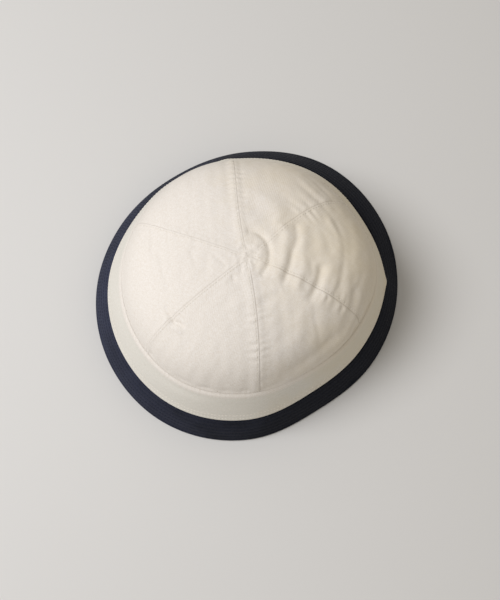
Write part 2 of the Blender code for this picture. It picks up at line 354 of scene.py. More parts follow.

# Stitches of the gores: distance from the seam, the width of their dent, their dent and their dust
# and painted shade as shares of the seam's line, the least radius that turns them, and the share of
# the seam's fade from which they show; then the places of their line down the band and up the dome
SEAM_STITCH_INSET = 1.8
STITCH_DENT_WIDTH = 0.6
STITCH_DENT = 0.5
STITCH_DUST_AND_SHADE = 0.3
STITCH_LEAST_RADIUS = 4.0
STITCH_SHOWN = 0.5
STITCH_LINE = np.concatenate([np.linspace(-6.0, 0.0, 24, endpoint=False), np.linspace(0.0, 0.985, 500)])

# A stitch: pitch, length and the thread's radius, its four sides, and rings along it: the place as
# a share of the length, and the girth and the height over the cloth as shares of the radius
STITCH_PITCH = 2.8
STITCH_LENGTH = 2.0
STITCH_RADIUS = 0.2
STITCH_SIDES = 4
StitchRing = namedtuple("StitchRing", "place girth height")
STITCH_RINGS = (
    StitchRing(place=0.0, girth=0.45, height=-0.9),
    StitchRing(place=0.12, girth=0.9, height=0.1),
    StitchRing(place=0.5, girth=1.0, height=0.45),
    StitchRing(place=0.88, girth=0.9, height=0.1),
    StitchRing(place=1.0, girth=0.45, height=-0.9),
)

# How finely the cloth is divided: columns round the cap and across a gore, how much closer they
# lie at a gore's edges, rows of the dome, its crown, its foot and its hem, and steps on the walls
RING_COLUMNS = 720
GORE_COLUMNS = 120
EDGE_CROWDING = 0.7
DOME_ROWS = 106
CROWN_ROWS = 32
CROWN_START = 0.88
CROWN_END = 0.99
TIP_PLACES = (0.994, 0.997, 0.9988, 0.9998)
FOOT_ROWS = 8
HEM_ROWS = 6
WALL_STEP = 0.75
EDGE_STEPS = 5

# Places on the dome between which its slope is measured, the step for that, and the share of the
# dome in which its slope follows the band's
SLOPE_PLACES = (0.012, 0.975)
SLOPE_STEP = 0.01
SLOPE_BLEND = 0.03

# Lengths round the band and the brim, for the weave
BAND_ROUND = 660.0
BRIM_ROUND = 750.0

# How far the band's wall below its top is greyed and the brim's edge is rubbed, from 0 to 1, and
# where each ends
BAND_GREYING = 0.45
BAND_GREYING_TOP = 7.0
BAND_GREYING_FADE = 4.0
BRIM_RUBBED = 0.6
BRIM_RUBBED_WIDTH = 1.6

# Random draws: their seed, and the waves that make a swell. Least length that a vector is given
SEED = 11
SWELL_WAVES = 9
TINY = 1e-9

# Weave: the slant of the ribs and how far they waver, in metres, the ribs' share of the relief, the
# patches' share of the ageing and of its painted light and shade, the share of cells without a seed
# fleck, and a fleck's share of colour
RIB_SLANT = 0.7
RIB_WAVER = 0.8 * MM
RIB_SHARE = 0.5
PATCH_SHARE = 0.5
FLECK_RARITY = 0.9
FLECK_SHARE = 0.5

# Colours of the dust and painted shade in the seams, the raw cotton's seed flecks, the threads and
# the lights
SEAM_DUST_AND_SHADE = "#7A6A55"
SEED_FLECK = "#8A7355"
WHITE_THREAD = "#F2ECE0"
NAVY_THREAD = "#1E222E"
ROOM_LIGHT = "#FFF8EE"
KEY_LIGHT = "#F9FAFF"

# Width of the floor, in metres
FLOOR_SIZE = 12.0

# The point of the cap in the middle of the picture, in the frame's axes, and the camera's lens
CAMERA_TARGET = (2.4, -17.5, 37.35)
CAMERA_LENS = 90.0


# --- Shape of the cap ---

def between(before, here, after, beyond, part):
    """Place between two rows of a smooth curve, bent by the rows on either side."""
    bend = 2.0 * before - 5.0 * here + 4.0 * after - beyond
    twist = 3.0 * here - before - 3.0 * after + beyond
    return here + 0.5 * ((after - before) * part + bend * part ** 2 + twist * part ** 3)


def around(column, direction):
    """Values of one column of SECTIONS on a smooth closed curve through its rows."""
    values = np.array([getattr(section, column) for section in SECTIONS], float)
    spot = np.asarray(direction, float) % 360.0 / 360.0 * len(values)
    row = np.floor(spot).astype(int)
    return between(*(values[(row + step) % len(values)] for step in (-1, 0, 1, 2)), spot - row)


def turned(direction, middle):
    """Turn from one direction to another, between -180 and 180 degrees."""
    return (direction - middle + 180.0) % 360.0 - 180.0


def place(direction, radius, height):
    """Points at these directions, distances and heights about the middle of the sections."""
    turn = np.radians(direction)
    return np.stack(np.broadcast_arrays(radius * np.cos(turn), radius * np.sin(turn), height), axis=-1)


def rim_middle():
    """Middle of the box round the brim's edge, which is the frame's origin."""
    direction = np.arange(0.0, 360.0, 6.0)
    edge = place(direction, around("rim_radius", direction), 0.0)
    return (edge.min(axis=0) + edge.max(axis=0)) / 2.0


def rise(width, lean):
    """Height of a wall of this width along its slope that leans in this far."""
    return np.sqrt(width ** 2 - lean ** 2)


def brim_wall(direction, along):
    """Points on the outside of the brim, this far up its slope from its edge."""
    lean = around("brim_lean", direction)
    up = along / BRIM_WIDTH
    belly = BRIM_BELLY * 4.0 * up * (1.0 - up)
    radius = around("rim_radius", direction) - lean * up + belly
    return place(direction, radius, rise(BRIM_WIDTH, lean) * up)


def band_wall(direction, along):
    """Points on the outside of the band, this far up its slope from the brim's seam."""
    brim_lean = around("brim_lean", direction)
    lean = around("band_lean", direction)
    up = along / BAND_WIDTH
    belly = BAND_BELLY * 4.0 * up * (1.0 - up)
    radius = around("rim_radius", direction) - brim_lean - lean * up + belly
    return place(direction, radius, rise(BRIM_WIDTH, brim_lean) + rise(BAND_WIDTH, lean) * up)


def dome_spread(up):
    """Share of the foot's radius that the dome has at this place up its slope."""
    return np.cos(np.radians(90.0 * np.clip(up, 0.0, 1.0))) ** (2.0 / DOME_SQUARENESS)


def dome_wall(direction, up):
    """Points on the outside of the smooth dome, from the top of the band's wall (0) to the apex (1).

    Negative values are distances down the band's wall, in millimetres.
    """
    direction, up = np.broadcast_arrays(np.asarray(direction, float), np.asarray(up, float))
    foot = band_wall(direction, BAND_WIDTH)
    climb = np.sin(np.radians(90.0 * np.clip(up, 0.0, 1.0))) ** (2.0 / DOME_SQUARENESS)
    apex = np.array(APEX_SHIFT)
    lean = around("band_lean", direction)
    span = np.linalg.norm(foot[..., :2] - apex, axis=-1)
    follow = lean / rise(BAND_WIDTH, lean) * (CAP_HEIGHT - foot[..., 2]) / span
    spread = dome_spread(up) - follow * climb * (1.0 - climb) ** 2
    level = apex + (foot[..., :2] - apex) * spread[..., None]
    height = foot[..., 2] + (CAP_HEIGHT - foot[..., 2]) * climb
    dome = np.concatenate([level, height[..., None]], axis=-1)
    return np.where((up < 0.0)[..., None], band_wall(direction, BAND_WIDTH + np.minimum(up, 0.0)), dome)


def apex_radius(direction, up):
    """Distance from the apex of places on the dome, seen from above."""
    level = dome_wall(direction, up)[..., :2] - np.array(APEX_SHIFT)
    return np.hypot(level[..., 0], level[..., 1])


def unit(vectors):
    """Vectors of length 1 with the same directions."""
    return vectors / np.maximum(np.linalg.norm(vectors, axis=-1, keepdims=True), TINY)


def facing(surface, direction, along, turn=0.3, step=0.4):
    """Unit vectors out of a surface that is a function of direction and place along its slope."""
    across = surface(direction + turn, along) - surface(direction - turn, along)
    upward = surface(direction, along + step) - surface(direction, along - step)
    return unit(np.cross(across, upward))


def gore_facing(direction, up):
    """Unit vectors out of the smooth dome, also down its hem."""
    up = np.asarray(up, float)
    above = facing(dome_wall, direction, np.clip(up, *SLOPE_PLACES), step=SLOPE_STEP)
    below = np.broadcast_to(facing(band_wall, direction, BAND_WIDTH), above.shape)
    blend = smooth(up / SLOPE_BLEND)
    return unit(below + (above - below) * np.broadcast_to(blend, above.shape[:-1])[..., None])


def smooth(value):
    """Eased step from 0 to 1."""
    value = np.clip(value, 0.0, 1.0)
    return value * value * (3.0 - 2.0 * value)


def bump(distance, width):
    """Rounded swell, 1 in the middle."""
    return np.exp(-(distance / width) ** 2)


def ripple(place_along, seed, waves=5, shortest=0.6, spread=1.2):
    """Irregular wave of height about 1 over a coordinate counted in its own wavelengths."""
    random = np.random.default_rng(seed)
    total = 0.0
    for _ in range(waves):
        length = shortest + random.random() * spread
        total = total + np.sin(2.0 * math.pi * (place_along / length + random.random()))
    return total / math.sqrt(waves)


def swell(x, y, seed, length, shortest=0.7, spread=0.8):
    """Irregular field of height about 1 over the plane, whose waves are about this long."""
    random = np.random.default_rng(seed)
    total = 0.0
    for _ in range(SWELL_WAVES):
        heading = random.random() * 2.0 * math.pi
        size = length * (shortest + spread * random.random())
        phase = (x * math.cos(heading) + y * math.sin(heading)) / size + random.random()
        total = total + np.sin(2.0 * math.pi * phase)
    return total / math.sqrt(SWELL_WAVES)


def fold_line(fold):
    """Points of a fold on its smooth path about the apex: x, y and share of the height."""
    direction, radius, share = np.array(fold.path, float).T
    turn = np.radians(direction)
    points = np.stack([radius * np.cos(turn), radius * np.sin(turn), share], axis=1)
    ends = np.concatenate([[2 * points[0] - points[1]], points, [2 * points[-1] - points[-2]]])
    found = [between(*ends[row:row + 4], part) for row in range(len(points) - 1)
             for part in np.arange(FOLD_STEPS) / FOLD_STEPS]
    return np.array(found + [points[-1]])


def fold_relief(x, y):
    """Height of all the folds of the dome over places about the apex, seen from above."""
    total = np.zeros_like(x)
    for fold in FOLDS:
        line = fold_line(fold)
        near = np.full(x.shape, np.inf)
        reached = np.zeros_like(x)
        height = np.zeros_like(x)
        run = 0.0
        for start, end in zip(line[:-1], line[1:]):
            step = end - start
            length = np.hypot(*step[:2])
            part = ((x - start[0]) * step[0] + (y - start[1]) * step[1]) / length ** 2
            part = np.clip(part, 0.0, 1.0)
            gap = np.hypot(x - start[0] - part * step[0], y - start[1] - part * step[1])
            closer = gap < near
            near = np.where(closer, gap, near)
            reached = np.where(closer, run + part * length, reached)
            height = np.where(closer, start[2] + part * step[2], height)
            run += length
        fade = min(FOLD_FADE, run / 2.0)
        ends = smooth((np.minimum(reached, run - reached) + FOLD_CUT * fade) / fade)
        total += fold.height * height * ends * bump(near, fold.width)
    return total


def seam_direction(seam, spread):
    """Direction of a seam where the dome has this share of its foot's radius."""
    bend = 2.0 * (seam.foot + seam.tip - 2.0 * seam.middle)
    lean = seam.foot - seam.tip - bend
    return seam.tip + lean * spread + bend * spread ** 2


def gore_ends(number):
    """The seams at the two sides of a gore, and the full turn to add to the second."""
    start, end = SEAMS[number - 1], SEAMS[number % len(SEAMS)]
    return start, end, (360.0 if number == len(SEAMS) else 0.0)


def band_cover(top):
    """Thickness of the band's cloth this far below the crown's seam, pressed thin over the hems."""
    over_hems = (BAND_TOP_CLOTH - BAND_EDGE) * smooth(top / BAND_EDGE_RISE)
    return BAND_EDGE + over_hems + (BAND_CLOTH - BAND_TOP_CLOTH) * smooth((top - HEMS_END) / HEMS_FADE)


def edge_roll(direction, top):
    """Height of the band's surface this far below the crown's seam, where its edge is rolled in."""
    share = around("edge_roll", direction)
    roll = ROLL_SWELL * bump(top - ROLL_WIDTH, ROLL_SWELL_WIDTH) - ROLL_DEPTH * smooth(1.0 - top / ROLL_WIDTH)
    tugs = TUG_HEIGHT * ripple(direction / TUG_PITCH, SEED + 9) * smooth(1.0 - top / TUG_REACH)
    return share * roll + tugs * np.clip(share, 0.0, 1.0)


def above_crown_seam(direction, up, base):
    """Distance of places on the dome above the crown's seam, negative in the hem."""
    seam = around("crown_seam", direction)
    foot = band_wall(direction, BAND_WIDTH)[..., 2]
    return BAND_WIDTH - seam + np.where(up < 0.0, up, base[..., 2] - foot)


def seam_relief(seam, width, on_top, distance, radius, above):
    """A seam's part in the lift, the thickness and the dust and painted shade of one gore, over distances
    from it.
    """
    inside = np.maximum(distance, 0.0)
    near_tip = smooth((radius - TIP_FLAT) / TIP_RISE)
    clear = FAINT + (1.0 - FAINT) * smooth((radius - seam.clear) / CLEAR_RISE)
    shown = smooth(above / seam.shown) * clear
    wave = ripple(radius / seam.pitch, SEED + int(seam.foot) + int(on_top), waves=4, shortest=0.8,
                  spread=0.45)
    reach = smooth(inside / PUCKER_FOOT) * smooth(1.0 - inside / seam.reach)
    among = smooth((radius - seam.first) / PUCKER_RISE) * smooth((seam.last - radius) / PUCKER_FALL)
    puckers = seam.pucker * wave * reach * among
    ridge = seam.ridge * smooth((width - inside) / (RIDGE_RISE * width))
    line = SEAM_LINE * bump(inside, LINE_WIDTH) * shown
    # Dust and painted shade along the seam's line
    dust_and_shade = seam.dark * bump(inside, DUST_AND_SHADE_WIDTH) * shown
    if not on_top:
        beneath = SEAM_STEP + (GORE_CLOTH + LAP_GAP) * smooth(-distance / SEAM_PRESS)
        return puckers + (ridge - line - beneath) * near_tip, 0.0, dust_and_shade
    stitched = bump(inside - SEAM_STITCH_INSET, STITCH_DENT_WIDTH)
    step = SEAM_STEP * smooth(1.0 - inside / SEAM_LAP) - STITCH_DENT * SEAM_LINE * stitched
    # More dust and painted shade along the line of stitches
    dust_and_shade = np.maximum(dust_and_shade, STITCH_DUST_AND_SHADE * seam.dark * stitched * shown)
    thinner = (GORE_EDGE - GORE_CLOTH) * smooth(1.0 - inside / SEAM_PRESS)
    return puckers + (ridge - line + step) * near_tip, thinner, dust_and_shade


def gore_skin(number, direction, up):
    """Points on the outside of a gore, its cloth's thickness, and the dust and painted shade in its seams."""
    base = dome_wall(direction, up)
    x = base[..., 0] - APEX_SHIFT[0]
    y = base[..., 1] - APEX_SHIFT[1]
    radius = np.hypot(x, y)
    above = above_crown_seam(direction, up, base)
    swelled = swell(x, y, SEED + APEX_SWELL.seed, APEX_SWELL.length)
    creased = np.abs(swell(x, y, SEED + APEX_CREASE.seed, APEX_CREASE.length))
    lift = (fold_relief(x, y) + APEX_BULK * bump(radius, APEX_BULK_REACH)
            + APEX_SWELL.height * bump(radius, APEX_SWELL.reach) * swelled
            + APEX_CREASE.height * bump(radius, APEX_CREASE.reach) * creased)
    for wave in WAVES:
        lift += wave.height * swell(x, y, SEED + wave.seed, wave.length) * smooth(radius / wave.full)
    for gather in GATHERS:
        across = bump(turned(direction, gather.direction), gather.spread)
        lift -= gather.depth * across * bump(above - GATHER_PLACE, GATHER_HEIGHT)

    thickness = np.full(radius.shape, GORE_CLOTH)
    seam_soil_and_shade = np.zeros_like(radius)
    start, end, turn = gore_ends(number)
    for seam, width, side, add in ((start, start.after, 1.0, 0.0), (end, end.before, -1.0, turn)):
        away = np.radians(direction - seam_direction(seam, dome_spread(up)) - add) * side
        distance = np.maximum(radius, TIP_RADIUS) * away
        on_top = (seam.over == "after") == (side > 0.0)
        raised, thinner, dust_and_shade = seam_relief(seam, width, on_top, distance, radius, above)
        lift += raised
        thickness += thinner
        seam_soil_and_shade = np.maximum(seam_soil_and_shade, dust_and_shade)

    below = np.maximum(-above, 0.0)
    edge = around("edge_roll", direction) * bump(np.maximum(above, 0.0), EDGE_WIDTH)
    drawn = edge_roll(direction, below) - band_cover(below) - HEM_GAP
    lift = lift * smooth(above / FOLD_RISE) + drawn * smooth(1.0 - above / FOOT_RISE) - EDGE_STEP * edge
    # Painted shade on the gore along the band's edge, where that edge shades it
    seam_soil_and_shade = np.maximum(seam_soil_and_shade, EDGE_PAINTED_SHADE * edge)
    return base + gore_facing(direction, up) * lift[..., None], thickness, seam_soil_and_shade


def corner_bulge(direction):
    """Height of the corners over directions round the cap."""
    return sum(corner.height * bump(turned(direction, corner.direction), corner.width)
               for corner in CORNERS)


def brim_relief(direction, along, depth):
    """Channels of the brim between its rows of stitching, its tuck and its dents."""
    outside = depth <= BRIM_CLOTH / 2.0
    channels = 0.0
    for number, row in enumerate(BRIM_ROWS):
        wander = GROOVE_WANDER * ripple(direction / GROOVE_WANDER_PITCH, SEED + 30 + number)
        pull = 1.0 + GROOVE_PULL * ripple(direction * GROOVE_PULLS, SEED + 60 + number)
        channels = channels - GROOVE_DEPTH * pull * bump(along - row - wander, GROOVE_WIDTH)
    channels = channels * np.where(outside, 1.0, -1.0) * smooth((along - GROOVE_START) / GROOVE_RISE)
    tuck = TUCK_DEPTH * smooth((along - BRIM_WIDTH + TUCK_START) / TUCK_RISE)
    bead = BEAD_HEIGHT * bump(along - BEAD_PLACE, BEAD_WIDTH) * smooth(along / BEAD_RISE)
    crease = CREASE.height * bump(turned(direction, CREASE.direction), CREASE.width)
    sway = SWAY_HEIGHT * ripple(direction / SWAY_PITCH + along / SWAY_SLANT, SEED + 90)
    dents = crease * smooth(CREASE_END - along / BRIM_WIDTH) + sway
    corner = corner_bulge(direction) * (along / BRIM_WIDTH) ** 2
    return channels + bead + dents * smooth((along - DENTS_START) / DENTS_RISE) + corner - tuck * outside


def band_relief(direction, along, depth):
    """Rolled upper edge of the band, its lap over the brim and its soft dents."""
    top = around("crown_seam", direction) - along
    lap = BAND_STEP * smooth(1.0 - along / BAND_STEP_FADE)
    grooves = sum(row.depth * bump(along - row.place, BAND_GROOVE_WIDTH) for row in BAND_ROWS)
    dents = DENT_HEIGHT * swell(direction * DENT_TURN, along, SEED + 8, DENT_LENGTH)
    fade = smooth((top - GORE_HEM) / DENT_TOP_FADE) * smooth(along / DENT_FOOT_FADE)
    corner = corner_bulge(direction) * np.clip(1.0 - along / BAND_WIDTH, 0.0, 1.0) ** 2
    return edge_roll(direction, np.maximum(top, 0.0)) + lap - grooves + corner + dents * fade


# --- Meshes ---

def grid_faces(rows, columns, wrap=False):
    """Corners of the quads of a grid of points, four for each. A wrapped grid is closed both ways."""
    open_end = 0 if wrap else 1
    row, column = np.meshgrid(np.arange(rows - open_end), np.arange(columns - open_end), indexing="ij")
    above, right = (row + 1) % rows, (column + 1) % columns
    corners = (row * columns + column, row * columns + right, above * columns + right,
               above * columns + column)
    return np.stack(corners, axis=-1).reshape(-1, 4)


def lengths_along(points):
    """Distance of each point from the first, along the line through all of them."""
    steps = np.linalg.norm(np.diff(points, axis=0), axis=1)
    return np.concatenate([[0.0], np.cumsum(steps)])


def make_object(name, points, faces, material, flat=None, shades=None):
    """Object at the origin of a mesh whose points are millimetres in the sections' own axes."""
    mesh = bpy.data.meshes.new(name)
    metres = (np.asarray(points).reshape(-1, 3) - rim_middle()) * MM
    mesh.from_pydata(metres.tolist(), [], np.asarray(faces).tolist())
    mesh.update()
    mesh.shade_smooth()
    if flat is not None:
        layer = mesh.uv_layers.new(name="cloth")
        layer.data.foreach_set("uv", (np.asarray(flat) * MM).astype(np.float32).ravel())
    for title, values in (shades or {}).items():
        attribute = mesh.attributes.new(title, "FLOAT", "POINT")
        attribute.data.foreach_set("value", np.asarray(values, np.float32).ravel())
    mesh.materials.append(material)
    piece = bpy.data.objects.new(name, mesh)
    bpy.context.scene.collection.objects.link(piece)
    return piece


def wall_profile(first, last, thickness):
    """Closed round of places across a wall: up its outside, over its edge, down its inside.

    Each place is a distance along the slope and a depth into the cloth. Thickness is a function
    of the distance along.
    """
    climb = np.linspace(first, last, int((last - first) / WALL_STEP) + 1)
    turns = np.linspace(0.0, math.pi, EDGE_STEPS + 2)[1:-1]
    upper = thickness(last) / 2.0
    lower = thickness(first) / 2.0
    outside = [(along, 0.0) for along in climb]
    over = [(last + upper * math.sin(turn), upper - upper * math.cos(turn)) for turn in turns]
    inside = [(along, thickness(along)) for along in climb[::-1]]
    under = [(first - lower * math.sin(turn), lower + lower * math.cos(turn)) for turn in turns]
    return np.array(outside + over + inside + under)


def ring_piece(name, wall, relief, profile, length, material, greyed_and_rubbed, top=None, flat_edge=False):
    """Closed ring of cloth: a wall's profile carried round the cap.

    The profile's upper half is drawn down to a column of SECTIONS, if one is named. A flat edge is
    level across its thickness, as it lies on the floor.
    """
    direction = np.arange(RING_COLUMNS) * 360.0 / RING_COLUMNS
    along, depth = profile[:, :1], profile[:, 1:]
    if top:
        along = along - (BAND_WIDTH - around(top, direction)) * smooth(along / BAND_WIDTH)
    if flat_edge:
        lean = around("brim_lean", direction)
        level = depth * lean / rise(BRIM_WIDTH, lean)
        along = along + level * smooth(1.0 - along / LEVEL_REACH)
    lift = relief(direction, along, depth) - depth
    points = wall(direction, along) + facing(wall, direction, along) * lift[..., None]

    faces = grid_faces(len(profile), RING_COLUMNS, wrap=True)
    row, column = faces[:, 0] // RING_COLUMNS, faces[:, 0] % RING_COLUMNS
    run = lengths_along(profile)
    run = np.append(run, run[-1] + WALL_STEP)
    columns = np.stack([column, column + 1, column + 1, column], axis=1)
    rows = np.stack([row, row, row + 1, row + 1], axis=1)
    flat = np.stack([columns * length / RING_COLUMNS, run[rows]], axis=-1)
    shades = {"greyed_and_rubbed": np.broadcast_to(greyed_and_rubbed, points.shape[:2])}
    return make_object(name, points, faces, material, flat, shades)


def make_gore_mesh(number, material):
    """One gore: an outer and an inner skin, closed along their edges."""
    start, end, turn = gore_ends(number)
    lower = HEM_ROWS + FOOT_ROWS
    crown = np.linspace(CROWN_START, CROWN_END, CROWN_ROWS + 1)[1:]
    dome = np.linspace(0.0, CROWN_START, DOME_ROWS)
    up = np.concatenate([np.zeros(lower), dome, crown, TIP_PLACES])[:, None]
    spread = dome_spread(up)
    radius = apex_radius((start.foot + end.foot + turn) / 2.0, up)
    lap = np.minimum(SEAM_LAP, TIP_LAP * np.maximum(radius - TIP_LAP_START, 0.0))
    lap = np.degrees(lap / radius)
    first = seam_direction(start, spread) - (lap if start.over == "before" else 0.0)
    last = seam_direction(end, spread) + turn + (lap if end.over == "after" else 0.0)
    share = np.linspace(0.0, 1.0, GORE_COLUMNS)
    share = share - EDGE_CROWDING * np.sin(2.0 * math.pi * share) / (2.0 * math.pi)
    direction = first + (last - first) * share

    up = np.broadcast_to(up, direction.shape).copy()
    seam = around("crown_seam", direction[:lower])
    hem = seam[:HEM_ROWS] - GORE_HEM * np.arange(HEM_ROWS, 0, -1)[:, None] / HEM_ROWS
    climb = np.arange(FOOT_ROWS)[:, None] / FOOT_ROWS
    foot = seam[HEM_ROWS:] + (BAND_WIDTH - seam[HEM_ROWS:]) * climb
    up[:lower] = np.concatenate([hem, foot]) - BAND_WIDTH
    outer, thickness, seam_soil_and_shade = gore_skin(number, direction, up)
    out = unit(np.cross(np.gradient(outer, axis=1), np.gradient(outer, axis=0)))
    inner = outer - out * thickness[..., None]

    rows, columns = direction.shape
    skin = grid_faces(rows, columns)
    count = rows * columns
    bottom = np.arange(columns - 1)
    top = bottom + (rows - 1) * columns
    left = np.arange(rows - 1) * columns
    right = left + columns - 1
    faces = np.concatenate([
        skin, skin[:, ::-1] + count,
        np.stack([bottom + count, bottom + 1 + count, bottom + 1, bottom], axis=1),
        np.stack([top, top + 1, top + 1 + count, top + count], axis=1),
        np.stack([left, left + columns, left + columns + count, left + count], axis=1),
        np.stack([right + count, right + columns + count, right + columns, right], axis=1)])

    across = np.radians(direction - (first + last) / 2.0) * radius
    climb = np.broadcast_to(lengths_along(outer[:, columns // 2])[:, None], across.shape)
    flat = np.stack([across, climb], axis=-1).reshape(-1, 2)
    flat = np.concatenate([flat, flat])[faces]
    points = np.concatenate([outer.reshape(-1, 3), inner.reshape(-1, 3)])
    # Dust and painted shade of the seams and beside the band's edge
    shades = {"seam_soil_and_shade": np.concatenate([seam_soil_and_shade, seam_soil_and_shade])}
    return make_object("gore_%d" % number, points, faces, material, flat, shades)


def wall_run(wall, relief, along):
    """Line round a wall at this distance up its slope, and the unit vectors out of the wall."""
    direction = np.linspace(0.0, 360.0, 2 * RING_COLUMNS + 1)
    along = np.full_like(direction, along)
    normal = facing(wall, direction, along)
    return wall(direction, along) + normal * relief(direction, along, 0.0)[:, None], normal


def seam_runs(number):
    """Lines beside the seams where a gore lies on top, and the unit vectors out of the dome."""
    start, end, turn = gore_ends(number)
    up = STITCH_LINE
    runs = []
    for seam, side, add, over in ((start, 1.0, 0.0, "after"), (end, -1.0, turn, "before")):
        if seam.over != over:
            continue
        line = seam_direction(seam, dome_spread(up)) + add
        radius = np.maximum(apex_radius(line, up), STITCH_LEAST_RADIUS)
        direction = line + side * np.degrees(SEAM_STITCH_INSET / radius)
        above = above_crown_seam(direction, up, dome_wall(direction, up))
        shown = above > STITCH_SHOWN * seam.shown
        runs.append((gore_skin(number, direction, up)[0][shown], gore_facing(direction, up)[shown]))
    return runs


def stitch_run(points, normals):
    """Points and faces of a row of stitches along a line on the cloth."""
    run = lengths_along(points)
    starts = np.arange(0.5 * STITCH_PITCH, run[-1] - STITCH_PITCH, STITCH_PITCH)
    share, girth, height = np.array(STITCH_RINGS).T
    where = starts[:, None] + share * STITCH_LENGTH

    def along(values):
        return np.stack([np.interp(where, run, values[:, axis]) for axis in range(3)], axis=-1)

    middle = along(points)
    out = unit(along(normals))
    way = unit(middle[:, -1:] - middle[:, :1])
    side = unit(np.cross(np.broadcast_to(way, out.shape), out))
    middle = middle + out * (height * STITCH_RADIUS)[:, None]
    rings = []
    for turn in np.arange(STITCH_SIDES) * 2.0 * math.pi / STITCH_SIDES:
        arm = side * math.cos(turn) + out * math.sin(turn)
        rings.append(middle + arm * (girth * STITCH_RADIUS)[:, None])
    rings = np.stack(rings, axis=2)

    last = (len(STITCH_RINGS) - 1) * STITCH_SIDES
    corners = []
    for here in range(last):
        ring, spoke = divmod(here, STITCH_SIDES)
        there = ring * STITCH_SIDES + (spoke + 1) % STITCH_SIDES
        corners.append((here, there, there + STITCH_SIDES, here + STITCH_SIDES))
    corners.append((3, 2, 1, 0))
    corners.append((last, last + 1, last + 2, last + 3))
    offsets = np.arange(len(starts))[:, None, None] * len(STITCH_RINGS) * STITCH_SIDES
    return rings.reshape(-1, 3), (np.array(corners) + offsets).reshape(-1, 4)


def stitch_piece(name, runs, material):
    """All the stitches of several runs as one mesh."""
    points = []
    faces = []
    count = 0
    for run_points, run_normals in runs:
        found, corners = stitch_run(run_points, run_normals)
        points.append(found)
        faces.append(corners + count)
        count += len(found)
    return make_object(name, np.concatenate(points), np.concatenate(faces), material)


# --- Materials ---

def linear(code):
    """Linear RGBA of an sRGB hex colour."""
    parts = [int(code[start:start + 2], 16) / 255.0 for start in (1, 3, 5)]
    return tuple(part / 12.92 if part <= 0.04045 else ((part + 0.055) / 1.055) ** 2.4
                 for part in parts) + (1.0,)


def node(tree, kind, inputs=None, **settings):
    """Adds a node, sets its properties, and fills its inputs with values or other nodes' sockets."""
    made = tree.nodes.new(kind)
    for name, value in settings.items():
        setattr(made, name, value)
    for name, value in (inputs or {}).items():
        socket = made.inputs[name]
        if isinstance(value, bpy.types.NodeSocket):
            tree.links.new(value, socket)
        else:
            socket.default_value = value
    return made


def new_material(name):
    """Empty node material, and its tree."""
    material = bpy.data.materials.new(name)
    material.use_nodes = True
    material.node_tree.nodes.clear()
    return material, material.node_tree


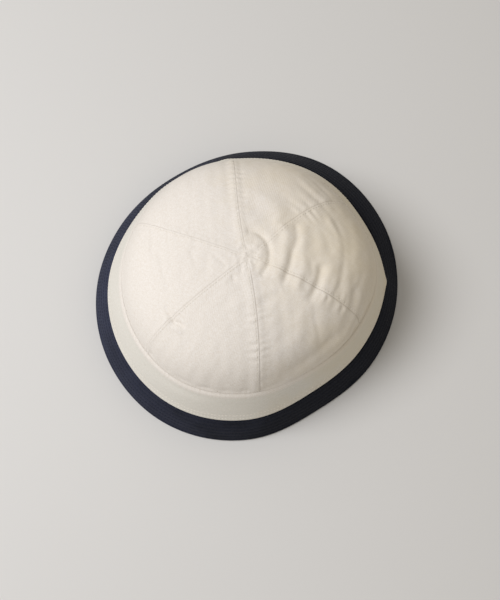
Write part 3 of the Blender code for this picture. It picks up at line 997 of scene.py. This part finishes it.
def twill(name, finish, flecks):
    """Cotton twill: diagonal ribs, uneven yarns, soft ageing with painted light and shade across the cap,
    a greyed band wall, a rubbed brim edge, dust and painted shade in the seams and, if raw, seed flecks.
    """
    material, tree = new_material(name)
    uv = node(tree, "ShaderNodeUVMap", uv_map="cloth").outputs["UV"]
    spot = node(tree, "ShaderNodeTexCoord").outputs["Object"]

    # Ribs: real ones are 0.6 mm apart, too fine to show, so rib_pitch is coarser. They waver every 4 mm
    parts = node(tree, "ShaderNodeSeparateXYZ", {0: uv})
    slant = node(tree, "ShaderNodeMath", {0: parts.outputs["Y"], 1: RIB_SLANT}, operation="MULTIPLY")
    diagonal = node(tree, "ShaderNodeMath", {0: parts.outputs["X"], 1: slant.outputs[0]}, operation="ADD")
    drift = node(tree, "ShaderNodeTexNoise", {"Vector": uv, "Scale": 260.0, "Detail": 2.0})
    wavered = node(tree, "ShaderNodeMath", {0: drift.outputs["Fac"], 1: RIB_WAVER, 2: diagonal.outputs[0]},
                   operation="MULTIPLY_ADD")
    phase = node(tree, "ShaderNodeMath", {0: wavered.outputs[0], 1: 2.0 * math.pi / finish.rib_pitch},
                 operation="MULTIPLY")
    rib = node(tree, "ShaderNodeMath", {0: phase.outputs[0]}, operation="SINE").outputs[0]

    # Yarns: thick and thin places, 0.7 mm wide and 2.6 mm long, that run up and across the cloth
    warp = node(tree, "ShaderNodeMapping", {"Vector": uv, "Scale": (1500.0, 380.0, 1.0)}).outputs[0]
    weft = node(tree, "ShaderNodeMapping", {"Vector": uv, "Scale": (380.0, 1400.0, 1.0)}).outputs[0]
    up = node(tree, "ShaderNodeTexNoise", {"Vector": warp, "Scale": 1.0, "Detail": 3.0}).outputs["Fac"]
    across = node(tree, "ShaderNodeTexNoise", {"Vector": weft, "Scale": 1.0, "Detail": 3.0}).outputs["Fac"]
    slubs = node(tree, "ShaderNodeMath", {0: up, 1: across}, operation="ADD").outputs[0]
    uneven = node(tree, "ShaderNodeMapRange", {"Value": slubs, "From Min": 0.75, "From Max": 1.25}).outputs[0]

    # The band's greyed wall and the brim's rubbed edge, broken up every 2.4 mm
    greyed_and_rubbed = node(tree, "ShaderNodeAttribute", attribute_name="greyed_and_rubbed").outputs["Fac"]
    broken = node(tree, "ShaderNodeTexNoise", {"Vector": uv, "Scale": 420.0, "Detail": 3.0}).outputs["Fac"]
    catch = node(tree, "ShaderNodeMapRange", {"Value": broken, "From Min": -0.2, "From Max": 0.7}).outputs[0]
    greyed_and_worn = node(tree, "ShaderNodeMath", {0: greyed_and_rubbed, 1: catch}, operation="MULTIPLY").outputs[0]

    # Ageing: broad patches, 40 mm and less, and a slope across the cap that lays on more of the aged
    # colour to one side: warm painted shade on the natural cloth's shaded right, painted light on the
    # navy's lit left
    patches = node(tree, "ShaderNodeTexNoise", {"Vector": spot, "Scale": 26.0, "Detail": 5.0,
                                                "Roughness": 0.62}).outputs["Fac"]
    side = node(tree, "ShaderNodeVectorMath", {0: spot, 1: finish.painted_light_and_shade_slope[:] + (0.0,)},
                operation="DOT_PRODUCT").outputs["Value"]
    fuller = node(tree, "ShaderNodeMath", {0: patches, 1: PATCH_SHARE, 2: side},
                  operation="MULTIPLY_ADD").outputs[0]
    aged_and_painted_light = node(tree, "ShaderNodeMapRange", {"Value": fuller, "From Min": 0.22, "From Max": 0.62,
                                             "To Max": finish.ageing_and_painted_light}).outputs[0]

    # Seams: dust that has settled in them, and painted shade in their lines and beside the band's edge
    seam_soil_and_shade = node(tree, "ShaderNodeAttribute", attribute_name="seam_soil_and_shade").outputs["Fac"]
    dust_and_shade_amount = node(tree, "ShaderNodeMath", {0: seam_soil_and_shade, 1: finish.seam_soil_and_shade}, operation="MULTIPLY").outputs[0]

    # Colours that these lay over each other, from the full yarns outwards
    layers = [(uneven, finish.thin[:] + (1.0,)), (greyed_and_worn, finish.greyed_and_rubbed[:] + (1.0,)),
              (aged_and_painted_light, finish.aged_and_painted_light[:] + (1.0,)), (dust_and_shade_amount, linear(SEAM_DUST_AND_SHADE))]
    if flecks:
        # Seed flecks: up to 0.8 mm in radius, in one of ten cells 8 mm wide
        cells = node(tree, "ShaderNodeTexVoronoi", {"Vector": uv, "Scale": 120.0})
        few = node(tree, "ShaderNodeSeparateColor", {0: cells.outputs["Color"]}).outputs[0]
        chosen = node(tree, "ShaderNodeMath", {0: few, 1: FLECK_RARITY}, operation="GREATER_THAN").outputs[0]
        small = node(tree, "ShaderNodeMapRange", {"Value": cells.outputs["Distance"], "From Min": 0.10,
                                                  "From Max": 0.03}).outputs[0]
        seen = node(tree, "ShaderNodeMath", {0: chosen, 1: small}, operation="MULTIPLY").outputs[0]
        faint = node(tree, "ShaderNodeMath", {0: seen, 1: FLECK_SHARE}, operation="MULTIPLY").outputs[0]
        layers.append((faint, linear(SEED_FLECK)))
    colour = finish.colour[:] + (1.0,)
    for amount, over in layers:
        colour = node(tree, "ShaderNodeMix", {0: amount, 6: colour, 7: over}, data_type="RGBA").outputs[2]

    relief = node(tree, "ShaderNodeMath", {0: rib, 1: RIB_SHARE, 2: slubs},
                  operation="MULTIPLY_ADD").outputs[0]
    normal = node(tree, "ShaderNodeBump", {"Strength": finish.weave_relief, "Distance": 0.1 * MM,
                                           "Height": relief}).outputs["Normal"]
    rough = node(tree, "ShaderNodeMapRange", {"Value": uneven, "To Min": finish.roughness - 0.05,
                                              "To Max": finish.roughness + 0.05}).outputs[0]
    shader = node(tree, "ShaderNodeBsdfPrincipled", {
        "Base Color": colour, "Roughness": rough, "Normal": normal, "Specular IOR Level": 0.08,
        "Sheen Weight": finish.sheen, "Sheen Roughness": 0.5})
    node(tree, "ShaderNodeOutputMaterial", {"Surface": shader.outputs[0]})
    return material


def thread(name, colour):
    """Cotton sewing thread: matte, with a slightly uneven, fuzzy tone. Its plies are too fine to draw."""
    material, tree = new_material(name)
    spot = node(tree, "ShaderNodeTexCoord").outputs["Object"]
    fuzz = node(tree, "ShaderNodeTexNoise", {"Vector": spot, "Scale": 1500.0, "Detail": 2.0}).outputs["Fac"]
    tone = node(tree, "ShaderNodeMapRange", {"Value": fuzz, "To Min": 0.8, "To Max": 1.15}).outputs[0]
    shade = node(tree, "ShaderNodeVectorMath", {0: colour[:], "Scale": tone}, operation="SCALE").outputs[0]
    normal = node(tree, "ShaderNodeBump", {"Strength": 0.4, "Distance": 0.05 * MM, "Height": fuzz})
    shader = node(tree, "ShaderNodeBsdfPrincipled", {
        "Base Color": shade, "Roughness": 0.85, "Normal": normal.outputs[0], "Specular IOR Level": 0.12})
    node(tree, "ShaderNodeOutputMaterial", {"Surface": shader.outputs[0]})
    return material


def painted_floor(name, colour):
    """Smooth matte studio floor."""
    material, tree = new_material(name)
    shader = node(tree, "ShaderNodeBsdfPrincipled", {"Base Color": colour[:] + (1.0,), "Roughness": 0.9,
                                                     "Specular IOR Level": 0.2})
    node(tree, "ShaderNodeOutputMaterial", {"Surface": shader.outputs[0]})
    return material


# --- What a user would change ---

class CapClothFinish(bpy.types.PropertyGroup):
    """Finish of one of the cap's two cloths."""
    colour: bpy.props.FloatVectorProperty(
        name="Colour", description="Colour of the full yarns", subtype="COLOR", min=0.0, max=1.0,
        default=linear("#F0EBE4")[:3])
    thin: bpy.props.FloatVectorProperty(
        name="Thin yarns", description="Colour where the yarns run thin", subtype="COLOR", min=0.0,
        max=1.0, default=linear("#E6DED3")[:3])
    # The aged colour is also painted light and shade where the slope lays it on
    aged_and_painted_light: bpy.props.FloatVectorProperty(
        name="Aged", description="Colour of the patches that have aged", subtype="COLOR", min=0.0,
        max=1.0, default=linear("#E3D4B2")[:3])
    # On the natural cloth this colour greys the band's wall below its top; on the navy it is the colour of
    # the brim's rubbed edge
    greyed_and_rubbed: bpy.props.FloatVectorProperty(
        name="Rubbed", description="Colour of folds and edges that have rubbed", subtype="COLOR",
        min=0.0, max=1.0, default=linear("#D3D5CA")[:3])
    # Strength of the aged colour, in the patches and in the painted light and shade of the slope
    ageing_and_painted_light: bpy.props.FloatProperty(
        name="Ageing", description="How far the patches have aged", subtype="FACTOR", min=0.0, max=1.0,
        default=0.7)
    # The slope lays more of the aged colour towards one side: warm painted shade to the natural cloth's right
    # and far side
    painted_light_and_shade_slope: bpy.props.FloatVectorProperty(
        name="Ageing slope", description="How much more the cloth has aged for each metre along X and Y",
        size=2, min=-10.0, max=10.0, default=(2.7, 0.9))
    # Darkness of the dust and painted shade in the seams and beside the band's edge
    seam_soil_and_shade: bpy.props.FloatProperty(
        name="Soil", description="How dark the dust in the seams is", subtype="FACTOR", min=0.0,
        max=1.0, default=0.62)
    rib_pitch: bpy.props.FloatProperty(
        name="Rib pitch", description="Distance between the ribs of the twill as drawn",
        unit="LENGTH", min=0.0002, max=0.01, default=2.0 * MM, precision=5)
    weave_relief: bpy.props.FloatProperty(
        name="Weave relief", description="Strength of the relief of ribs and yarns",
        subtype="FACTOR", min=0.0, max=1.0, default=0.4)
    roughness: bpy.props.FloatProperty(
        name="Roughness", description="Roughness of the cloth", subtype="FACTOR", min=0.1, max=0.95,
        default=0.88)
    sheen: bpy.props.FloatProperty(
        name="Fuzz", description="Soft sheen of the cotton's loose fibres", subtype="FACTOR", min=0.0,
        max=1.0, default=0.15)


class CapStage(bpy.types.PropertyGroup):
    """Floor, light and camera."""
    floor_colour: bpy.props.FloatVectorProperty(
        name="Floor", description="Colour of the floor", subtype="COLOR", min=0.0, max=1.0,
        default=linear("#DCDBD8")[:3])
    key_power: bpy.props.FloatProperty(
        name="Key light", description="Power of the large soft light on the left", unit="POWER",
        min=0.0, max=500.0, default=15.15)
    key_direction: bpy.props.FloatProperty(
        name="Key direction", description="Direction of the large light, anticlockwise from the right",
        subtype="ANGLE", min=0.0, max=2.0 * math.pi, default=math.radians(181.0))
    key_elevation: bpy.props.FloatProperty(
        name="Key elevation", description="Angle of the large light above the floor",
        subtype="ANGLE", min=0.0, max=math.pi / 2.0, default=math.radians(57.5))
    key_distance: bpy.props.FloatProperty(
        name="Key distance", description="Distance of the large light from the cap", unit="LENGTH",
        min=0.3, max=10.0, default=1.5)
    key_size: bpy.props.FloatProperty(
        name="Key size", description="Width of the large light", unit="LENGTH", min=0.05, max=5.0,
        default=0.8)
    sky: bpy.props.FloatProperty(
        name="Room light", description="Strength of the even light of the room", min=0.0, max=5.0,
        default=0.385)
    camera_distance: bpy.props.FloatProperty(
        name="Camera distance", description="Distance from the camera to the middle of the cap",
        unit="LENGTH", min=0.3, max=5.0, default=1.2)
    camera_elevation: bpy.props.FloatProperty(
        name="Camera elevation", description="Angle of the camera above the floor",
        subtype="ANGLE", min=0.0, max=math.pi / 2.0, default=math.radians(74.0))


class CapSettings(bpy.types.PropertyGroup):
    """All the settings of the cap."""
    natural: bpy.props.PointerProperty(type=CapClothFinish)
    navy: bpy.props.PointerProperty(type=CapClothFinish)
    stage: bpy.props.PointerProperty(type=CapStage)


def set_navy(finish):
    """Turns a cloth finish to navy twill."""
    finish.colour = linear("#20232D")[:3]
    finish.thin = linear("#0B0D14")[:3]
    finish.aged_and_painted_light = linear("#383C4F")[:3]
    finish.greyed_and_rubbed = linear("#3C4050")[:3]
    finish.ageing_and_painted_light = 1.0
    # The navy's lighter, bluer aged colour goes more to the lit left: painted light
    finish.painted_light_and_shade_slope = (-2.6, 0.2)
    finish.weave_relief = 0.7
    finish.sheen = 0.05


# --- Operators ---

def cap_piece(piece, nodes=()):
    """Hangs a finished piece on the cap and in place of its plain solids."""
    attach(piece, "root")
    if nodes:
        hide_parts(*nodes)


class SAILORCAP_OT_stage(bpy.types.Operator):
    """Makes the floor, the lights and the camera"""
    bl_idname = "sailorcap.stage"
    bl_label = "Stage"

    def execute(self, context):
        settings = context.scene.sailor_cap.stage
        bpy.ops.mesh.primitive_plane_add(size=FLOOR_SIZE, location=(0.0, 0.0, 0.0))
        floor = context.object
        floor.name = "floor"
        floor.data.materials.append(painted_floor("matte_floor", settings.floor_colour))

        world = bpy.data.worlds.new("room")
        world.use_nodes = True
        background = world.node_tree.nodes["Background"].inputs
        background["Color"].default_value = linear(ROOM_LIGHT)
        background["Strength"].default_value = settings.sky
        context.scene.world = world

        turn, climb = settings.key_direction, settings.key_elevation
        level = math.cos(climb)
        toward = Vector((math.cos(turn) * level, math.sin(turn) * level, math.sin(climb)))
        bpy.ops.object.light_add(type="AREA", location=toward * settings.key_distance)
        key = context.object
        key.name = "key_light"
        key.data.shape = "DISK"
        key.data.size = settings.key_size
        key.data.energy = settings.key_power
        key.data.color = linear(KEY_LIGHT)[:3]
        key.rotation_euler = (-key.location).to_track_quat("-Z", "Y").to_euler()

        target = Vector(CAMERA_TARGET) * MM
        tilt = settings.camera_elevation
        back = Vector((0.0, -math.cos(tilt), math.sin(tilt)))
        camera = bpy.data.objects.new("camera", bpy.data.cameras.new("camera"))
        context.scene.collection.objects.link(camera)
        camera.data.lens = CAMERA_LENS
        camera.location = target + back * settings.camera_distance
        camera.rotation_euler = (-back).to_track_quat("-Z", "Y").to_euler()
        context.scene.camera = camera
        context.scene.view_settings.view_transform = "Standard"
        return {"FINISHED"}


class SAILORCAP_OT_gores(bpy.types.Operator):
    """Makes the six gores of the dome"""
    bl_idname = "sailorcap.gores"
    bl_label = "Gores"

    def execute(self, context):
        cloth = twill("unbleached_cotton_twill", context.scene.sailor_cap.natural, True)
        for number in range(1, len(SEAMS) + 1):
            gore = make_gore_mesh(number, cloth)
            cap_piece(gore, ("crown_gore_%d" % number,))
        return {"FINISHED"}


class SAILORCAP_OT_band(bpy.types.Operator):
    """Makes the band below the dome"""
    bl_idname = "sailorcap.band"
    bl_label = "Band"

    def execute(self, context):
        cloth = bpy.data.materials["unbleached_cotton_twill"]
        profile = wall_profile(-BAND_LAP, BAND_WIDTH, lambda along: float(band_cover(BAND_WIDTH - along)))
        # The band's wall is greyed, all but its top 7 mm
        above = profile[:, :1] - BAND_WIDTH + BAND_GREYING_TOP
        greyed_and_rubbed = BAND_GREYING * (1.0 - smooth(above / BAND_GREYING_FADE))
        band = ring_piece("band_cloth", band_wall, band_relief, profile, BAND_ROUND, cloth, greyed_and_rubbed,
                          top="crown_seam")
        cap_piece(band, ("band",))
        return {"FINISHED"}


class SAILORCAP_OT_brim(bpy.types.Operator):
    """Makes the quilted brim"""
    bl_idname = "sailorcap.brim"
    bl_label = "Brim"

    def execute(self, context):
        cloth = twill("navy_cotton_twill", context.scene.sailor_cap.navy, False)
        profile = wall_profile(BRIM_CLOTH / 2.0, BRIM_WIDTH + BRIM_TUCK, lambda along: BRIM_CLOTH)
        greyed_and_rubbed = BRIM_RUBBED * bump(profile[:, :1], BRIM_RUBBED_WIDTH)
        brim = ring_piece("brim_cloth", brim_wall, brim_relief, profile, BRIM_ROUND, cloth, greyed_and_rubbed,
                          flat_edge=True)
        cap_piece(brim, ("brim",))
        return {"FINISHED"}


class SAILORCAP_OT_stitches(bpy.types.Operator):
    """Sews the rows of stitches of the gores, the band and the brim"""
    bl_idname = "sailorcap.stitches"
    bl_label = "Stitches"

    def execute(self, context):
        white = thread("natural_sewing_thread", linear(WHITE_THREAD)[:3])
        navy = thread("navy_sewing_thread", linear(NAVY_THREAD)[:3])
        gore_runs = [run for number in range(1, len(SEAMS) + 1) for run in seam_runs(number)]
        band_runs = [wall_run(band_wall, band_relief, row.place) for row in BAND_ROWS]
        brim_runs = [wall_run(brim_wall, brim_relief, row) for row in BRIM_ROWS]
        made = (
            (stitch_piece("gore_stitches", gore_runs, white), "off_white_twill"),
            (stitch_piece("band_stitches", band_runs, white), "off_white_twill"),
            (stitch_piece("brim_stitches", brim_runs, navy), "navy_twill"),
        )
        for piece, slot in made:
            cap_piece(piece)
        return {"FINISHED"}


class SAILORCAP_PT_panel(bpy.types.Panel):
    """Lists what makes the cap"""
    bl_label = "Sailor cap"
    bl_idname = "SAILORCAP_PT_panel"
    bl_space_type = "VIEW_3D"
    bl_region_type = "UI"
    bl_category = "Cap"

    def draw(self, context):
        for operator in OPERATORS:
            self.layout.operator(operator.bl_idname)


OPERATORS = (SAILORCAP_OT_stage, SAILORCAP_OT_gores, SAILORCAP_OT_band, SAILORCAP_OT_brim,
             SAILORCAP_OT_stitches)
CLASSES = (CapClothFinish, CapStage, CapSettings) + OPERATORS + (SAILORCAP_PT_panel,)


def register():
    """Adds the classes, and the cap's settings to the scene."""
    for one in CLASSES:
        bpy.utils.register_class(one)
    bpy.types.Scene.sailor_cap = bpy.props.PointerProperty(type=CapSettings)


def unregister():
    """Takes the settings and the classes away again."""
    del bpy.types.Scene.sailor_cap
    for one in reversed(CLASSES):
        bpy.utils.unregister_class(one)


def main():
    """Makes the cap and its stage."""
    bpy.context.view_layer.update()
    register()
    set_navy(bpy.context.scene.sailor_cap.navy)
    bpy.ops.sailorcap.stage()
    bpy.ops.sailorcap.gores()
    bpy.ops.sailorcap.band()
    bpy.ops.sailorcap.brim()
    bpy.ops.sailorcap.stitches()


if __name__ == "__main__":
    main()
